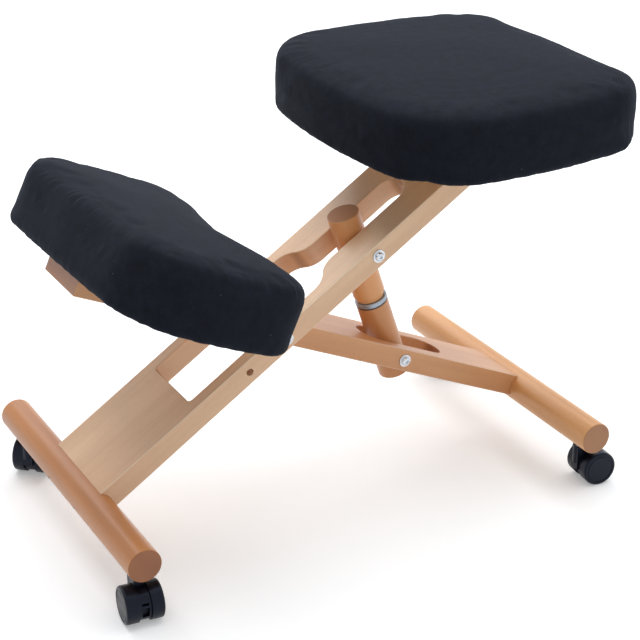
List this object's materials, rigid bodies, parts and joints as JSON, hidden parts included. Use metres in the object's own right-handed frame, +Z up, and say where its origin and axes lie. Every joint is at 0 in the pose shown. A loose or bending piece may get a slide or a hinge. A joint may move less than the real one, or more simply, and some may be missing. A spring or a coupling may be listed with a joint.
{
  "type": "kneeling chair",
  "caption": "Crossed-board kneeling chair: level seat, sloping knee pad, casters, and a turned screw strut that sets its height.",
  "frame": {"origin": "on the floor, under the middle of the chair's length and width", "axes": "+Z up, +Y to the rear, +X to the left of a person who sits on it and faces the front"},
  "size_m": [0.4791, 0.785, 0.5893],
  "materials": {
    "beech": "clear satin lacquer on beech",
    "plywood": "plain sanded plywood",
    "fabric": "fine woven upholstery cloth over foam",
    "zinc": "bright zinc plating",
    "steel": "turned steel",
    "ring_metal": "matt grey anodised",
    "nylon": "moulded nylon, slightly glossy",
    "socket_plastic": "moulded plastic"
  },
  "bodies": {
    "main_frame": {"main_board": "beech", "front_crossbar": "beech", "front_crossbar_bolts": "zinc", "front_barrel_nuts": "zinc", "seat_cushion": "fabric", "seat_base_panel": "plywood", "seat_block": "beech", "seat_screws": "zinc", "front_left_socket": "socket_plastic", "front_right_socket": "socket_plastic"},
    "knee_frame": {"knee_board": "beech", "rear_crossbar": "beech", "rear_crossbar_bolts": "zinc", "rear_barrel_nuts": "zinc", "knee_cushion": "fabric", "knee_base_panel": "plywood", "knee_screws": "zinc", "crossing_bolts": "zinc", "crossing_washers": "zinc", "crossing_spacers": "zinc", "crossing_inserts": "zinc", "rear_left_socket": "socket_plastic", "rear_right_socket": "socket_plastic"},
    "upper_post": {"upper_post": "beech", "upper_post_sleeve": "zinc", "upper_pivot_bolts": "zinc", "upper_pivot_washers": "zinc"},
    "lower_post": {"lower_post": "beech", "lower_post_sleeve": "zinc", "lower_pivot_bolts": "zinc", "lower_pivot_washers": "zinc", "threaded_rod": "steel", "rod_insert": "zinc"},
    "ring_nut": {"ring_nut": "ring_metal"},
    "front_left_caster": {"front_left_stem": "steel", "front_left_hood": "nylon", "front_left_axle": "steel"},
    "front_left_wheel_a": {"front_left_wheel_a": "nylon"},
    "front_left_wheel_b": {"front_left_wheel_b": "nylon"},
    "front_right_caster": {"front_right_stem": "steel", "front_right_hood": "nylon", "front_right_axle": "steel"},
    "front_right_wheel_a": {"front_right_wheel_a": "nylon"},
    "front_right_wheel_b": {"front_right_wheel_b": "nylon"},
    "rear_left_caster": {"rear_left_stem": "steel", "rear_left_hood": "nylon", "rear_left_axle": "steel"},
    "rear_left_wheel_a": {"rear_left_wheel_a": "nylon"},
    "rear_left_wheel_b": {"rear_left_wheel_b": "nylon"},
    "rear_right_caster": {"rear_right_stem": "steel", "rear_right_hood": "nylon", "rear_right_axle": "steel"},
    "rear_right_wheel_a": {"rear_right_wheel_a": "nylon"},
    "rear_right_wheel_b": {"rear_right_wheel_b": "nylon"}
  },
  "joints": [
    {"name": "fold", "type": "hinge", "parent": "main_frame", "child": "knee_frame", "pos_m": [0, -0.09182, 0.26462], "axis": [-1, 0, 0], "range_deg": [0, 18.75]},
    {"name": "upper_post_swing", "type": "hinge", "parent": "main_frame", "child": "upper_post", "pos_m": [0, 0.04586, 0.35465], "axis": [-1, 0, 0], "range_deg": [0, 13.75]},
    {"name": "lower_post_swing", "type": "hinge", "parent": "knee_frame", "child": "lower_post", "pos_m": [0, 0.10651, 0.17534], "axis": [1, 0, 0], "range_deg": [0, 5.1]},
    {"name": "ring_nut_spin", "type": "hinge", "parent": "upper_post", "child": "ring_nut", "pos_m": [0, 0.04586, 0.35465], "axis": [0, -0.3204, 0.9473], "range_deg": [0, 4510]},
    {"name": "front_left_swivel", "type": "hinge", "parent": "main_frame", "child": "front_left_caster", "pos_m": [0.19, -0.368, 0.0615], "axis": [0, 0, 1], "continuous": true},
    {"name": "front_left_wheel_a_spin", "type": "hinge", "parent": "front_left_caster", "child": "front_left_wheel_a", "pos_m": [0.21192, -0.36992, 0.025], "axis": [-0.0872, -0.9962, 0], "continuous": true},
    {"name": "front_left_wheel_b_spin", "type": "hinge", "parent": "front_left_caster", "child": "front_left_wheel_b", "pos_m": [0.21192, -0.36992, 0.025], "axis": [-0.0872, -0.9962, 0], "continuous": true},
    {"name": "front_right_swivel", "type": "hinge", "parent": "main_frame", "child": "front_right_caster", "pos_m": [-0.19, -0.368, 0.0615], "axis": [0, 0, 1], "continuous": true},
    {"name": "front_right_wheel_a_spin", "type": "hinge", "parent": "front_right_caster", "child": "front_right_wheel_a", "pos_m": [-0.20635, -0.35328, 0.025], "axis": [0.6691, 0.7431, 0], "continuous": true},
    {"name": "front_right_wheel_b_spin", "type": "hinge", "parent": "front_right_caster", "child": "front_right_wheel_b", "pos_m": [-0.20635, -0.35328, 0.025], "axis": [0.6691, 0.7431, 0], "continuous": true},
    {"name": "rear_left_swivel", "type": "hinge", "parent": "knee_frame", "child": "rear_left_caster", "pos_m": [0.19, 0.3094, 0.0615], "axis": [0, 0, 1], "continuous": true},
    {"name": "rear_left_wheel_a_spin", "type": "hinge", "parent": "rear_left_caster", "child": "rear_left_wheel_a", "pos_m": [0.19192, 0.33132, 0.025], "axis": [0.9962, -0.0872, 0], "continuous": true},
    {"name": "rear_left_wheel_b_spin", "type": "hinge", "parent": "rear_left_caster", "child": "rear_left_wheel_b", "pos_m": [0.19192, 0.33132, 0.025], "axis": [0.9962, -0.0872, 0], "continuous": true},
    {"name": "rear_right_swivel", "type": "hinge", "parent": "knee_frame", "child": "rear_right_caster", "pos_m": [-0.19, 0.3094, 0.0615], "axis": [0, 0, 1], "continuous": true},
    {"name": "rear_right_wheel_a_spin", "type": "hinge", "parent": "rear_right_caster", "child": "rear_right_wheel_a", "pos_m": [-0.19192, 0.33132, 0.025], "axis": [0.9962, 0.0872, 0], "continuous": true},
    {"name": "rear_right_wheel_b_spin", "type": "hinge", "parent": "rear_right_caster", "child": "rear_right_wheel_b", "pos_m": [-0.19192, 0.33132, 0.025], "axis": [0.9962, 0.0872, 0], "continuous": true}
  ],
  "couplings": [
    {"joint": "upper_post_swing", "follows": "fold", "ratio": 0.731},
    {"joint": "lower_post_swing", "follows": "fold", "ratio": 0.269},
    {"joint": "ring_nut_spin", "follows": "fold", "ratio": 239.97}
  ]
}
